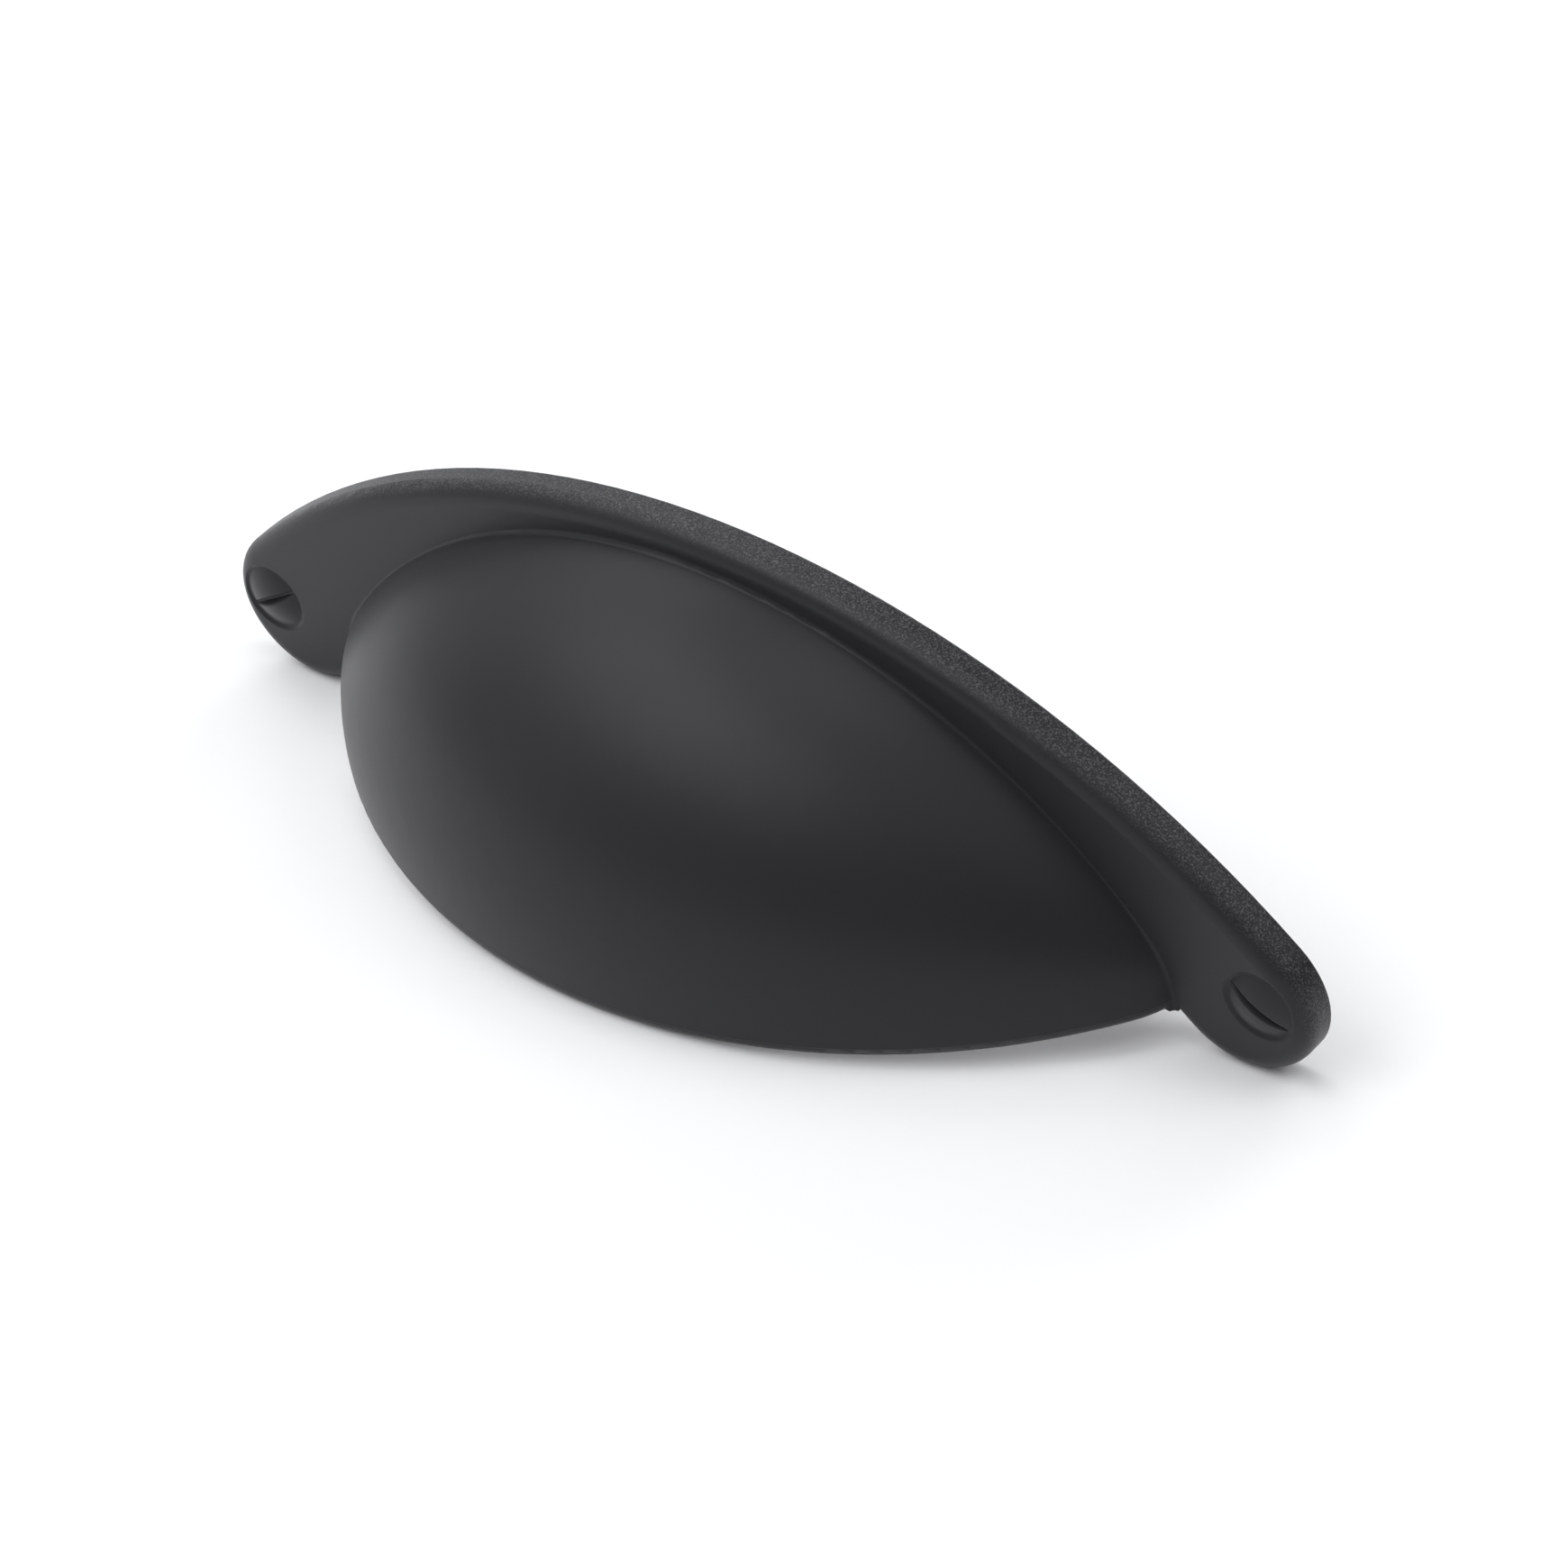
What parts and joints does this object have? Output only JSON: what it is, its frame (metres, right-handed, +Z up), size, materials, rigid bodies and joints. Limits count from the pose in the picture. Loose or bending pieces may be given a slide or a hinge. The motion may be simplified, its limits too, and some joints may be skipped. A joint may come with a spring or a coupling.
{
  "type": "cup pull",
  "caption": "Black cast cup pull: a hollow shell-shaped finger cup on an arched plate whose round ears carry cast slotted screw heads, fixed to a drawer front from behind.",
  "frame": {"origin": "on the back face, midway between the two fixing bores", "axes": "+X along the pull to the right as seen from the front, +Y into the drawer front, +Z up with the mouth of the cup below"},
  "size_m": [0.1046, 0.0248, 0.0313],
  "materials": {
    "coated_casting": "matt black powder coat"
  },
  "bodies": {
    "root": {"cup_pull": "coated_casting"}
  },
  "joints": []
}
